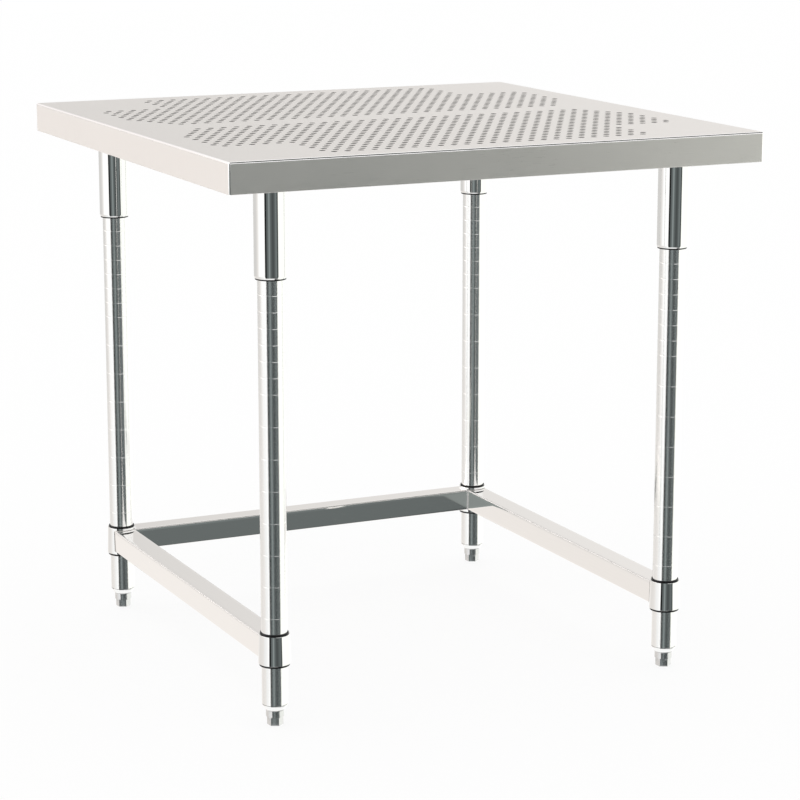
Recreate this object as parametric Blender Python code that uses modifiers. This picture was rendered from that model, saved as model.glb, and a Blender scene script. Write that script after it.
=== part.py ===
"""A square stainless steel work table: a perforated pan top, four grooved posts,
a lower frame with three rails that is open at the front, and four levelling feet.
Metres, +Z up, front towards -Y, origin on the floor under the middle of the top."""

import math

import bmesh
import bpy
from mathutils import Matrix

# Overall sizes
TOP_WIDTH = 0.9144
TOP_DEPTH = 0.9144
WORK_HEIGHT = 0.9028

# Folded top pan
SHEET = 0.0020
SKIRT_DEPTH = 0.0484
BEND_RADIUS = 0.0030
BEND_STEPS = 2
RETURN_FLANGE = 0.0127

# Holes in the top, in staggered rows. Three rows are left out along the middle, and so is
# each hole that would lie over a plate under the sheet
HOLE_DIAMETER = 0.0095
HOLE_PITCH = 0.0222
HOLE_MARGIN = 0.0500
HOLE_SIDES = 6
STRIP_ROWS = 3
# The solid keeps every second hole of every second row, in the same triangular layout
HOLE_STEP = 2

# Stiffening under the top
CHANNEL_WEB = 0.0400
CHANNEL_FLANGE = 0.0100
CHANNEL_DEPTH = 0.0300
CHANNEL_SHEET = 0.0015
PLATE = 0.0030
CORNER_PLATE = 0.1700
CORNER_PLATE_RADIUS = 0.0080
GUSSET_LENGTH = 0.1060
GUSSET_WIDTH = 0.1836

# Posts, on axes set in from the edges of the top
POST_INSET_X = 0.1050
POST_INSET_Y = 0.0998
POST_DIAMETER = 0.0413
POST_WALL = 0.0016
POST_HEADROOM = 0.0128
GROOVE_WIDTH = 0.0030
GROOVE_DEPTH = 0.0008
GROOVE_STEP = 0.0254
FRAME_GROOVE_HEIGHT = 0.1267
# Up to this many steps above the frame's groove, only every second step has a groove
SPARSE_STEPS = 16
CAP_FLANGE = 0.0030
CAP_PLUG = 0.0120
CAP_CHAMFER = 0.0010

# Split sleeves between the posts and what hangs on them, thicker towards the bottom
WEDGE_WALL = 0.0014
WEDGE_TAPER = 0.0016
WEDGE_SHOW = 0.0035
WEDGE_SEAM = 0.0010

# Upper sleeves
SLEEVE_WALL = 0.00115
SLEEVE_DROP = 0.1898
SLEEVE_LIP = 0.0030
SLEEVE_LIP_DRAW = 0.0009
SLEEVE_WEDGE_SHOW = 0.0018

# Lower frame
COLLAR_WALL = 0.0015
COLLAR_HEIGHT = 0.0472
COLLAR_BOTTOM = 0.1020
RAIL_SIZE = 0.0381
RAIL_WALL = 0.0015
RAIL_CORNER = 0.0020
RAIL_BOTTOM = 0.1070

# Feet
FOOT_HEIGHT = 0.0265
FOOT_HEX_HEIGHT = 0.0138
FOOT_HEX_CORNERS = 0.0260
FOOT_HEX_TURN = math.radians(5)
FOOT_SHOULDER = 0.0290
FOOT_NECK = 0.0190
FOOT_CHAMFER = 0.0010
STUD_DIAMETER = 0.0095
STUD_LENGTH = 0.0450
INSERT_FLANGE = 0.0090
INSERT_PLUG = 0.0300
INSERT_NOSE = 0.0300
INSERT_SHOULDER = 0.0010

# Gap between pieces that touch, and how far a cutter runs past what it cuts
FIT = 0.0003
OVERRUN = 0.0050
MERGE = 0.000001

ROUND_SIDES = 16
SHARP_ANGLE = math.radians(35)

CORNERS = {
    "front_left": (-1, -1),
    "front_right": (1, -1),
    "back_left": (-1, 1),
    "back_right": (1, 1),
}

POST_X = TOP_WIDTH / 2 - POST_INSET_X
POST_Y = TOP_DEPTH / 2 - POST_INSET_Y
POST_RADIUS = POST_DIAMETER / 2
POST_BORE_RADIUS = POST_RADIUS - POST_WALL
WEDGE_HEIGHT = COLLAR_HEIGHT + 2 * WEDGE_SHOW
WEDGE_FOOT_RADIUS = POST_RADIUS + FIT + WEDGE_WALL + WEDGE_TAPER
WEDGE_HEAD_RADIUS = WEDGE_FOOT_RADIUS - WEDGE_TAPER
SLEEVE_BORE_RADIUS = WEDGE_FOOT_RADIUS + FIT
UNDERSIDE = WORK_HEIGHT - SHEET
# What is welded under the sheet stops where the bends into the skirts begin
FLAT_X = TOP_WIDTH / 2 - BEND_RADIUS - FIT
FLAT_Y = TOP_DEPTH / 2 - BEND_RADIUS - FIT
GUSSET_Y = CHANNEL_WEB / 2 + CHANNEL_FLANGE + FIT
POST_BOTTOM = FOOT_HEIGHT + INSERT_FLANGE + FIT
POST_TOP = UNDERSIDE - PLATE - POST_HEADROOM
SLEEVE_LIP_HEIGHT = UNDERSIDE - SLEEVE_DROP


def clear_scene():
    for obj in list(bpy.data.objects):
        bpy.data.objects.remove(obj)


def new_collection(name):
    collection = bpy.data.collections.new(name)
    bpy.context.scene.collection.children.link(collection)
    return collection


def steel(name, colour, roughness, metallic=1.0):
    """A Principled material in linear colour."""
    material = bpy.data.materials.new(name)
    material.use_nodes = True
    shader = material.node_tree.nodes["Principled BSDF"]
    shader.inputs["Base Color"].default_value = (*colour, 1.0)
    shader.inputs["Roughness"].default_value = roughness
    shader.inputs["Metallic"].default_value = metallic
    material.diffuse_color = (*colour, 1.0)
    return material


def add_object(name, mesh, material, parent=None, location=(0, 0, 0)):
    """A piece of the table, in the table's collection."""
    obj = bpy.data.objects.new(name, mesh)
    if not mesh.materials:
        mesh.materials.append(material)
    table.objects.link(obj)
    obj.parent = parent
    obj.location = location
    return obj


def add_cutter(name, mesh, location):
    """A shape that only cuts: drawn as wire and left out of renders."""
    obj = bpy.data.objects.new(name, mesh)
    cutters.objects.link(obj)
    obj.location = location
    obj.display_type = "WIRE"
    obj.hide_render = True
    return obj


def add_empty(name, location):
    empty = bpy.data.objects.new(name, None)
    table.objects.link(empty)
    empty.empty_display_size = POST_DIAMETER
    empty.location = location
    return empty


def mesh_from(bm, name):
    bmesh.ops.recalc_face_normals(bm, faces=bm.faces)
    mesh = bpy.data.meshes.new(name)
    bm.to_mesh(mesh)
    bm.free()
    return mesh


def boolean(obj, other, operation):
    modifier = obj.modifiers.new(operation.title() + " " + other.name, "BOOLEAN")
    modifier.operation = operation
    modifier.object = other
    modifier.solver = "EXACT"


def solidify(obj, thickness, offset):
    modifier = obj.modifiers.new("Sheet", "SOLIDIFY")
    modifier.thickness = thickness
    modifier.offset = offset
    modifier.use_even_offset = True


def baked(obj):
    """The object's mesh with its modifiers applied, for pieces that are copied."""
    graph = bpy.context.evaluated_depsgraph_get()
    mesh = bpy.data.meshes.new_from_object(obj.evaluated_get(graph))
    mesh.name = obj.name + "_mesh"
    return mesh


def turned(name, profile, closed):
    """The mesh of a shape turned about Z. The profile holds (radius, height) points that run
    down the outer side. A closed one is a ring, and its last point meets its first."""
    bm = bmesh.new()
    points = [bm.verts.new((radius, 0, height)) for radius, height in profile]
    for first, second in zip(points, points[1:]):
        bm.edges.new((first, second))
    if closed:
        bm.edges.new((points[-1], points[0]))
    outline = bpy.data.meshes.new(name + "_profile")
    bm.to_mesh(outline)
    bm.free()
    obj = bpy.data.objects.new(name + "_turned", outline)
    table.objects.link(obj)
    screw = obj.modifiers.new("Turn", "SCREW")
    screw.axis = "Z"
    screw.steps = ROUND_SIDES
    screw.render_steps = ROUND_SIDES
    screw.use_merge_vertices = True
    screw.merge_threshold = MERGE
    screw.use_smooth_shade = True
    mesh = baked(obj)
    bpy.data.objects.remove(obj)
    mesh.set_sharp_from_angle(angle=SHARP_ANGLE)
    return mesh


def collar_bore(height):
    """The bore's radius this far above the bottom of a collar. It follows the split sleeve."""
    return SLEEVE_BORE_RADIUS - WEDGE_TAPER * (height + WEDGE_SHOW) / WEDGE_HEIGHT


def over_a_plate(x, y):
    """Whether a hole would reach over a corner plate or over a gusset."""
    radius = HOLE_DIAMETER / 2
    over_corner = min(x - FLAT_X, y - FLAT_Y) > -CORNER_PLATE - radius
    slack = radius * math.hypot(1 / GUSSET_LENGTH, 1 / GUSSET_WIDTH)
    over_gusset = (FLAT_X - x) / GUSSET_LENGTH + (y - GUSSET_Y) / GUSSET_WIDTH < 1 + slack
    return over_corner or over_gusset


def hole_centres(step):
    """(x, y) of the holes behind the middle of the top. The outermost row has a hole in the
    middle. With a step above one, fewer holes keep the same triangular layout."""
    row_pitch = HOLE_PITCH * math.sqrt(3) / 2
    last_row = int((TOP_DEPTH / 2 - HOLE_MARGIN) / row_pitch)
    half_row = (TOP_WIDTH / 2 - HOLE_MARGIN) / HOLE_PITCH
    centres = []
    for row in range(last_row, STRIP_ROWS // 2, -step):
        from_edge = last_row - row
        shift = from_edge % 2 / 2
        whole = int(half_row + shift)
        for hole in range(-whole, whole + 1):
            column = hole + shift
            x = column * HOLE_PITCH
            y = row * row_pitch
            kept = (column - from_edge / 2) % step == 0
            if kept and abs(column) <= half_row and not over_a_plate(abs(x), y):
                centres.append((x, y))
    return centres


def build_top_panel():
    """A sheet folded down on four sides and back in under itself, with both fields of holes."""
    bm = bmesh.new()
    pan_size = Matrix.Diagonal((TOP_WIDTH, TOP_DEPTH, SKIRT_DEPTH, 1))
    bmesh.ops.create_cube(bm, size=1, matrix=pan_size)
    top_edges = [edge for edge in bm.edges if all(vert.co.z > 0 for vert in edge.verts)]
    bmesh.ops.bevel(
        bm, geom=top_edges, offset=BEND_RADIUS, segments=BEND_STEPS, profile=0.5, affect="EDGES"
    )
    underside = min(bm.faces, key=lambda face: face.calc_center_median().z)
    bmesh.ops.inset_region(bm, faces=[underside], thickness=RETURN_FLANGE)
    bmesh.ops.delete(bm, geom=[underside], context="FACES")
    panel = add_object(
        "top_panel",
        mesh_from(bm, "top_panel"),
        steel("top_panel_steel", (0.62, 0.60, 0.58), 0.35),
        location=(0, 0, WORK_HEIGHT - SKIRT_DEPTH / 2),
    )
    solidify(panel, SHEET, -1)

    bm = bmesh.new()
    for x, y in hole_centres(HOLE_STEP):
        for side in (-1, 1):
            bmesh.ops.create_cone(
                bm,
                cap_ends=True,
                segments=HOLE_SIDES,
                radius1=HOLE_DIAMETER / 2,
                radius2=HOLE_DIAMETER / 2,
                depth=SHEET + 2 * OVERRUN,
                matrix=Matrix.Translation((x, side * y, 0)),
            )
    punches = add_cutter(
        "hole_punches", mesh_from(bm, "hole_punches"), (0, 0, WORK_HEIGHT - SHEET / 2)
    )
    boolean(panel, punches, "DIFFERENCE")


def build_mid_channel():
    """A hat channel, open side up, welded under the plain strip from skirt to skirt."""
    half_web = CHANNEL_WEB / 2
    half_width = half_web + CHANNEL_FLANGE
    outline = [
        (-half_width, 0),
        (-half_web, 0),
        (-half_web, -CHANNEL_DEPTH),
        (half_web, -CHANNEL_DEPTH),
        (half_web, 0),
        (half_width, 0),
    ]
    half_length = FLAT_X
    bm = bmesh.new()
    points = [bm.verts.new((-half_length, y, z)) for y, z in outline]
    folds = [bm.edges.new(pair) for pair in zip(points, points[1:])]
    swept = bmesh.ops.extrude_edge_only(bm, edges=folds)
    far_end = [part for part in swept["geom"] if isinstance(part, bmesh.types.BMVert)]
    bmesh.ops.translate(bm, verts=far_end, vec=(2 * half_length, 0, 0))
    channel = add_object(
        "mid_channel",
        mesh_from(bm, "mid_channel"),
        steel("mid_channel_steel", (0.52, 0.51, 0.50), 0.45),
        location=(0, 0, UNDERSIDE - FIT - CHANNEL_SHEET / 2),
    )
    solidify(channel, CHANNEL_SHEET, 0)


def build_channel_gussets():
    """Triangular plates in the four corners between the channel and the end skirts."""
    material = steel("channel_gusset_steel", (0.52, 0.51, 0.50), 0.45)
    for corner, (side_x, side_y) in CORNERS.items():
        curve = bpy.data.curves.new("channel_gusset_" + corner, "CURVE")
        curve.dimensions = "2D"
        curve.fill_mode = "BOTH"
        curve.extrude = PLATE / 2
        outline = curve.splines.new("POLY")
        outline.points.add(2)
        outline.use_cyclic_u = True
        outline.points[0].co = (0, 0, 0, 1)
        outline.points[1].co = (-side_x * GUSSET_LENGTH, 0, 0, 1)
        outline.points[2].co = (0, side_y * GUSSET_WIDTH, 0, 1)
        add_object(
            "channel_gusset_" + corner,
            curve,
            material,
            location=(side_x * FLAT_X, side_y * GUSSET_Y, UNDERSIDE - FIT - PLATE / 2),
        )


def build_corner_plates():
    """Square plates under the corners without holes, which carry the sleeves."""
    bm = bmesh.new()
    plate_size = Matrix.Diagonal((CORNER_PLATE, CORNER_PLATE, PLATE, 1))
    bmesh.ops.create_cube(bm, size=1, matrix=plate_size)
    uprights = [edge for edge in bm.edges if edge.verts[0].co.z * edge.verts[1].co.z < 0]
    bmesh.ops.bevel(
        bm, geom=uprights, offset=CORNER_PLATE_RADIUS, segments=2, profile=0.5, affect="EDGES"
    )
    mesh = mesh_from(bm, "corner_plate")
    material = steel("corner_plate_steel", (0.52, 0.51, 0.50), 0.45)
    centre_x = FLAT_X - CORNER_PLATE / 2
    centre_y = FLAT_Y - CORNER_PLATE / 2
    for corner, (side_x, side_y) in CORNERS.items():
        add_object(
            "corner_plate_" + corner,
            mesh,
            material,
            location=(side_x * centre_x, side_y * centre_y, UNDERSIDE - FIT - PLATE / 2),
        )


def build_upper_sleeves():
    """Round tubes welded under the corner plates, drawn in a little at the lower lip."""
    outer = SLEEVE_BORE_RADIUS + SLEEVE_WALL
    top = UNDERSIDE - PLATE - 2 * FIT - SLEEVE_LIP_HEIGHT
    profile = [
        (outer, top),
        (outer, SLEEVE_LIP),
        (outer - SLEEVE_LIP_DRAW, 0),
        (SLEEVE_BORE_RADIUS, 0),
        (SLEEVE_BORE_RADIUS, top),
    ]
    mesh = turned("upper_sleeve", profile, closed=True)
    material = steel("upper_sleeve_steel", (0.70, 0.69, 0.68), 0.12)
    for corner, empty in corner_axes.items():
        add_object(
            "upper_sleeve_" + corner, mesh, material, empty, (0, 0, SLEEVE_LIP_HEIGHT)
        )


def wedge_mesh():
    """Half of a split sleeve, on the +Y side, with a tapered wall between its two seams."""
    inner = POST_RADIUS + FIT
    outline = [
        (inner, 0),
        (WEDGE_FOOT_RADIUS, 0),
        (WEDGE_HEAD_RADIUS, WEDGE_HEIGHT),
        (inner, WEDGE_HEIGHT),
    ]
    first = math.asin((WEDGE_SEAM / 2) / inner)
    side_step = 2 * math.pi / ROUND_SIDES
    angles = [first] + [side_step * n for n in range(1, ROUND_SIDES // 2)] + [math.pi - first]
    bm = bmesh.new()
    slices = []
    for angle in angles:
        across = math.cos(angle)
        back = math.sin(angle)
        slices.append([bm.verts.new((r * across, r * back, z)) for r, z in outline])
    for near, far in zip(slices, slices[1:]):
        for this in range(len(outline)):
            previous = this - 1
            bm.faces.new((near[previous], near[this], far[this], far[previous]))
    for seam in (slices[0], slices[-1]):
        bm.faces.new(seam)
    mesh = mesh_from(bm, "split_sleeve_half")
    mesh.shade_smooth()
    mesh.set_sharp_from_angle(angle=SHARP_ANGLE)
    return mesh


def build_split_sleeves():
    """A split sleeve in each upper sleeve and in each collar. Its front half, b, is the back
    half, a, turned round."""
    mesh = wedge_mesh()
    material = steel("split_sleeve_plastic", (0.015, 0.015, 0.015), 0.45, metallic=0.0)
    for corner, (side_x, side_y) in CORNERS.items():
        upper_place = (0, 0, SLEEVE_LIP_HEIGHT - SLEEVE_WEDGE_SHOW)
        lower_place = (side_x * POST_X, side_y * POST_Y, -WEDGE_SHOW)
        for half, turn in (("_a", 0), ("_b", math.pi)):
            for prefix, parent, place in (
                ("upper_wedge_", corner_axes[corner], upper_place),
                ("frame_wedge_", frame_empty, lower_place),
            ):
                wedge = add_object(prefix + corner + half, mesh, material, parent, place)
                wedge.rotation_euler.z = turn


def groove_heights():
    """Heights of a post's grooves from the top down: the one that the upper split sleeve
    grips, those in sight below the lip, and the one that the frame's split sleeve grips."""
    sleeve_middle = SLEEVE_LIP_HEIGHT + COLLAR_HEIGHT / 2
    gripped = round((sleeve_middle - FRAME_GROOVE_HEIGHT) / GROOVE_STEP)
    limit = SLEEVE_LIP_HEIGHT - SLEEVE_WEDGE_SHOW - GROOVE_WIDTH / 2
    last = int((limit - FRAME_GROOVE_HEIGHT) / GROOVE_STEP)
    in_sight = [step for step in range(last + 1) if step % 2 == 0 or step > SPARSE_STEPS]
    steps = in_sight + [gripped]
    return [FRAME_GROOVE_HEIGHT + step * GROOVE_STEP for step in reversed(steps)]


def build_posts():
    profile = [(POST_RADIUS, POST_TOP)]
    for height in groove_heights():
        profile.append((POST_RADIUS, height + GROOVE_WIDTH / 2))
        profile.append((POST_RADIUS - GROOVE_DEPTH, height))
        profile.append((POST_RADIUS, height - GROOVE_WIDTH / 2))
    profile += [
        (POST_RADIUS, POST_BOTTOM),
        (POST_BORE_RADIUS, POST_BOTTOM),
        (POST_BORE_RADIUS, POST_TOP),
    ]
    mesh = turned("post", profile, closed=True)
    material = steel("post_steel", (0.70, 0.69, 0.68), 0.10)
    for corner, empty in corner_axes.items():
        add_object("post_" + corner, mesh, material, empty)


def build_post_caps():
    plug = POST_BORE_RADIUS - FIT
    profile = [
        (0, CAP_FLANGE),
        (POST_RADIUS - CAP_CHAMFER, CAP_FLANGE),
        (POST_RADIUS, CAP_FLANGE - CAP_CHAMFER),
        (POST_RADIUS, 0),
        (plug, 0),
        (plug, -CAP_PLUG),
        (0, -CAP_PLUG),
    ]
    mesh = turned("post_cap", profile, closed=False)
    material = steel("post_cap_plastic", (0.02, 0.02, 0.02), 0.5, metallic=0.0)
    for corner, empty in corner_axes.items():
        add_object("post_cap_" + corner, mesh, material, empty, (0, 0, POST_TOP + FIT))


def build_frame_collars():
    """Tapered rings on the lower frame, which the rails are welded to."""
    profile = [
        (collar_bore(COLLAR_HEIGHT) + COLLAR_WALL, COLLAR_HEIGHT),
        (collar_bore(0) + COLLAR_WALL, 0),
        (collar_bore(0), 0),
        (collar_bore(COLLAR_HEIGHT), COLLAR_HEIGHT),
    ]
    mesh = turned("frame_collar", profile, closed=True)
    material = steel("frame_collar_steel", (0.68, 0.67, 0.66), 0.15)
    for corner, (side_x, side_y) in CORNERS.items():
        place = (side_x * POST_X, side_y * POST_Y, 0)
        add_object("frame_collar_" + corner, mesh, material, frame_empty, place)


def rail_mesh(name, length, along_y):
    """A square tube with open ends and rounded corners, before it is coped to the collars."""
    bm = bmesh.new()
    bmesh.ops.create_cube(bm, size=1, matrix=Matrix.Diagonal((length, RAIL_SIZE, RAIL_SIZE, 1)))
    ends = [face for face in bm.faces if abs(face.normal.x) > 0.5]
    bmesh.ops.delete(bm, geom=ends, context="FACES_ONLY")
    long_edges = [edge for edge in bm.edges if edge.verts[0].co.x * edge.verts[1].co.x < 0]
    bmesh.ops.bevel(
        bm, geom=long_edges, offset=RAIL_CORNER, segments=1, profile=0.5, affect="EDGES"
    )
    if along_y:
        bmesh.ops.rotate(bm, verts=bm.verts, matrix=Matrix.Rotation(math.pi / 2, 3, "Z"))
    return mesh_from(bm, name)


def build_rails():
    """Three rails between the collars. The back one also gives way to the side ones."""
    material = steel("rail_steel", (0.66, 0.65, 0.64), 0.22)
    centre_z = RAIL_BOTTOM + RAIL_SIZE / 2
    rails = {
        "rail_left": (2 * POST_Y, True, (-POST_X, 0), ("front_left", "back_left")),
        "rail_right": (2 * POST_Y, True, (POST_X, 0), ("front_right", "back_right")),
        "rail_back": (2 * POST_X, False, (0, POST_Y), ("back_left", "back_right")),
    }
    copes = {}
    # A cope follows the collar's taper, with the usual gap, past both sides of a rail
    outside = COLLAR_WALL + FIT
    wide = collar_bore(RAIL_BOTTOM - OVERRUN - COLLAR_BOTTOM) + outside
    narrow = collar_bore(RAIL_BOTTOM + RAIL_SIZE + OVERRUN - COLLAR_BOTTOM) + outside
    for corner, (side_x, side_y) in CORNERS.items():
        bm = bmesh.new()
        bmesh.ops.create_cone(
            bm,
            cap_ends=True,
            segments=ROUND_SIDES,
            radius1=wide,
            radius2=narrow,
            depth=RAIL_SIZE + 2 * OVERRUN,
            matrix=Matrix.Rotation(math.pi / 2, 4, "Z"),
        )
        copes[corner] = add_cutter(
            "cope_" + corner, mesh_from(bm, "cope"), (side_x * POST_X, side_y * POST_Y, centre_z)
        )
    for name, (length, along_y, (x, y), ends) in rails.items():
        place = (x, y, centre_z - COLLAR_BOTTOM)
        rail = add_object(name, rail_mesh(name, length, along_y), material, frame_empty, place)
        solidify(rail, RAIL_WALL, -1)
        for corner in ends:
            boolean(rail, copes[corner], "DIFFERENCE")

    # The back rail stops clear of the side rails, whose coped ends reach furthest at a flat
    # and where the collar is narrow
    flat_radius = narrow * math.cos(math.pi / ROUND_SIDES)
    reach = math.sqrt(flat_radius**2 - (RAIL_SIZE / 2) ** 2)
    notch_back = POST_Y - reach + FIT
    notch_front = POST_Y - RAIL_SIZE / 2 - OVERRUN
    notch_size = Matrix.Diagonal(
        (RAIL_SIZE + 2 * FIT, notch_back - notch_front, RAIL_SIZE + 2 * OVERRUN, 1)
    )
    for corner in ("back_left", "back_right"):
        bm = bmesh.new()
        bmesh.ops.create_cube(bm, size=1, matrix=notch_size)
        place = (CORNERS[corner][0] * POST_X, (notch_back + notch_front) / 2, centre_z)
        notch = add_cutter("rail_notch_" + corner, mesh_from(bm, "rail_notch"), place)
        boolean(bpy.data.objects["rail_back"], notch, "DIFFERENCE")


def build_foot_inserts():
    """Bright plugs in the lower ends of the posts, tapered down to the feet and threaded."""
    plug = POST_BORE_RADIUS - FIT
    thread = STUD_DIAMETER / 2 + FIT
    profile = [
        (plug, INSERT_FLANGE + INSERT_PLUG),
        (plug, INSERT_FLANGE),
        (POST_RADIUS, INSERT_FLANGE),
        (POST_RADIUS, INSERT_FLANGE - INSERT_SHOULDER),
        (INSERT_NOSE / 2, 0),
        (thread, 0),
        (thread, INSERT_FLANGE + INSERT_PLUG),
    ]
    mesh = turned("foot_insert", profile, closed=True)
    material = steel("foot_insert_chrome", (0.75, 0.75, 0.74), 0.08)
    for corner, empty in corner_axes.items():
        add_object("foot_insert_" + corner, mesh, material, empty, (0, 0, FOOT_HEIGHT))


def build_levelling_feet():
    """A threaded stud, a round shoulder and a hexagon for the spanner, in one piece."""
    stud = STUD_DIAMETER / 2
    shoulder = FOOT_SHOULDER / 2
    neck = FOOT_NECK / 2
    top = FOOT_HEIGHT - FIT
    profile = [
        (0, top + STUD_LENGTH),
        (stud - FOOT_CHAMFER, top + STUD_LENGTH),
        (stud, top + STUD_LENGTH - FOOT_CHAMFER),
        (stud, top),
        (shoulder - FOOT_CHAMFER, top),
        (shoulder, top - FOOT_CHAMFER),
        (shoulder, FOOT_HEX_HEIGHT + FOOT_CHAMFER),
        (neck, FOOT_HEX_HEIGHT - FOOT_CHAMFER),
        (neck, FOOT_HEX_HEIGHT / 2),
        (0, FOOT_HEX_HEIGHT / 2),
    ]
    blank = bpy.data.objects.new("foot_blank", turned("foot_blank", profile, closed=False))
    table.objects.link(blank)

    bm = bmesh.new()
    bmesh.ops.create_cone(
        bm,
        cap_ends=True,
        segments=6,
        radius1=FOOT_HEX_CORNERS / 2,
        radius2=FOOT_HEX_CORNERS / 2,
        depth=FOOT_HEX_HEIGHT,
        matrix=Matrix.Rotation(FOOT_HEX_TURN, 4, "Z"),
    )
    rim = [edge for edge in bm.edges if all(vert.co.z < 0 for vert in edge.verts)]
    bmesh.ops.bevel(
        bm, geom=rim, offset=FOOT_CHAMFER, segments=1, profile=0.5, affect="EDGES"
    )
    hexagon = add_cutter("foot_hexagon", mesh_from(bm, "foot_hexagon"), (0, 0, FOOT_HEX_HEIGHT / 2))
    boolean(blank, hexagon, "UNION")
    bpy.context.view_layer.update()
    mesh = baked(blank)
    bpy.data.objects.remove(blank)
    bpy.data.objects.remove(hexagon)
    mesh.set_sharp_from_angle(angle=SHARP_ANGLE)
    material = steel("levelling_foot_steel", (0.16, 0.16, 0.16), 0.4)
    for corner, empty in corner_axes.items():
        add_object("levelling_foot_" + corner, mesh, material, empty)


clear_scene()
table = new_collection("work_table")
cutters = new_collection("cutters")
cutters.hide_render = True
corner_axes = {
    corner: add_empty("axis_" + corner, (side_x * POST_X, side_y * POST_Y, 0))
    for corner, (side_x, side_y) in CORNERS.items()
}
frame_empty = add_empty("lower_frame", (0, 0, COLLAR_BOTTOM))

build_top_panel()
build_mid_channel()
build_channel_gussets()
build_corner_plates()
build_upper_sleeves()
build_posts()
build_post_caps()
build_frame_collars()
build_rails()
build_foot_inserts()
build_levelling_feet()
build_split_sleeves()
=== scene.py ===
# %% [markdown]
# # A stainless steel work table with a perforated top
# The packed CAD model is loaded first, as a fixed frame: every piece below is built straight
# into the place that its CAD node gives it. The CAD box is kept, because the finished pieces must
# stay inside it.

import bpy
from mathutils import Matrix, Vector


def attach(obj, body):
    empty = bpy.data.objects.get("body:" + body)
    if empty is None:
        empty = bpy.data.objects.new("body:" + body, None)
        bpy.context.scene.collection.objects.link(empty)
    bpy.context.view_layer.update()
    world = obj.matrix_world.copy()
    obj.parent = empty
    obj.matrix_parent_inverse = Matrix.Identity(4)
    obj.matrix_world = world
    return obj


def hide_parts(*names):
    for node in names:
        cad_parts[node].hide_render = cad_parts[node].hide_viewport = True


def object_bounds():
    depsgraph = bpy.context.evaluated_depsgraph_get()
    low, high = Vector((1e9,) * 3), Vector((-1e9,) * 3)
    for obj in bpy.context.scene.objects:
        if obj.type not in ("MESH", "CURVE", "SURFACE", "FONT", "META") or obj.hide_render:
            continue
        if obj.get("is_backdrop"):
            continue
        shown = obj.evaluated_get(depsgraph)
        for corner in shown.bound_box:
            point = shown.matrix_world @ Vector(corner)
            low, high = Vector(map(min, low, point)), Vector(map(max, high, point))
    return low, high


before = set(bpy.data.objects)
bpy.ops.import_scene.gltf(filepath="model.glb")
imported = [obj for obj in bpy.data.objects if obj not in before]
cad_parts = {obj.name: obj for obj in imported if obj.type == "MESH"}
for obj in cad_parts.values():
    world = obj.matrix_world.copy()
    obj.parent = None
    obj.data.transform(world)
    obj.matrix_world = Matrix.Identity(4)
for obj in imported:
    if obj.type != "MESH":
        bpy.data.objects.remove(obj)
cad_low, cad_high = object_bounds()
print("CAD box in metres:", [round(v, 4) for v in cad_low], [round(v, 4) for v in cad_high])

# %% Tools and the four corners
import math

import bmesh
import bpy
from mathutils import Matrix, Vector

CORNERS = {
    "front_left": (-1, -1),
    "front_right": (1, -1),
    "back_left": (-1, 1),
    "back_right": (1, 1),
}
print("Corners:", list(CORNERS))

# %% [markdown]
# ## The view
# The table was seen from its front left side, from a little above the top, with a long lens.
# A camera can be set by eye or solved from known points. This one was solved, from the corners
# of the top, the lips of the sleeves and the feet, so the numbers aren't round.

# %% Camera
CAMERA_PLACE = (-1.8647, -4.0353, 1.3869)
CAMERA_TILT = math.radians(77.703)
CAMERA_TURN = math.radians(-25.177)
CAMERA_LENS = 119.7

camera_data = bpy.data.cameras.new("camera")
camera_data.lens = CAMERA_LENS
camera_data.sensor_width = 36
camera = bpy.data.objects.new("camera", camera_data)
camera.location = CAMERA_PLACE
camera.rotation_euler = (CAMERA_TILT, 0, CAMERA_TURN)
bpy.context.scene.collection.objects.link(camera)
bpy.context.scene.camera = camera
bpy.context.scene.view_settings.view_transform = "Standard"
print("Camera", round(camera.location.length, 2), "m from the foot of the table")

# %% [markdown]
# ## Writing node trees as sums
# A material or a Geometry Nodes tree is a lot of small Math nodes. Wiring them one by one is
# slow to read, so an output is wrapped in a small class that knows +, -, * and /, also with
# the number on the left. Each operator adds its Math node.

# %% Links
def operator(operation):
    """What a Link does for one operator: it adds a Math node."""
    return lambda self, other: self.math(operation, other)


class Link:
    """An output of a node, ready for sums."""

    __add__ = __radd__ = operator("ADD")
    __sub__ = operator("SUBTRACT")
    __mul__ = __rmul__ = operator("MULTIPLY")
    __truediv__ = operator("DIVIDE")
    __gt__ = operator("GREATER_THAN")
    __lt__ = operator("LESS_THAN")

    def __init__(self, tree, socket):
        self.tree = tree
        self.socket = socket

    def __rsub__(self, other):
        return self.math("MULTIPLY_ADD", -1, other)

    def __abs__(self):
        return self.math("ABSOLUTE")

    def math(self, operation, *others):
        numbered = dict(enumerate((self, *others)))
        return self.tree.add("ShaderNodeMath", numbered, operation=operation)["Value"]


print("A link knows", sorted(name for name in vars(Link) if callable(vars(Link)[name])))

# %% [markdown]
# Every other node comes from one method of a tree. It sets the node's choices first, because they
# decide which sockets it has, and returns the outputs by name.

# %% Trees
def find_socket(sockets, name):
    return next(s for s in sockets if s.enabled and name in (s.identifier, s.name))


def set_stops(ramp, stops):
    while len(ramp.elements) > 1:
        ramp.elements.remove(ramp.elements[-1])
    ramp.elements[0].position = stops[0][0]
    ramp.elements[0].color = (*stops[0][1], 1)
    for position, colour in stops[1:]:
        ramp.elements.new(position).color = (*colour, 1)


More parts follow.
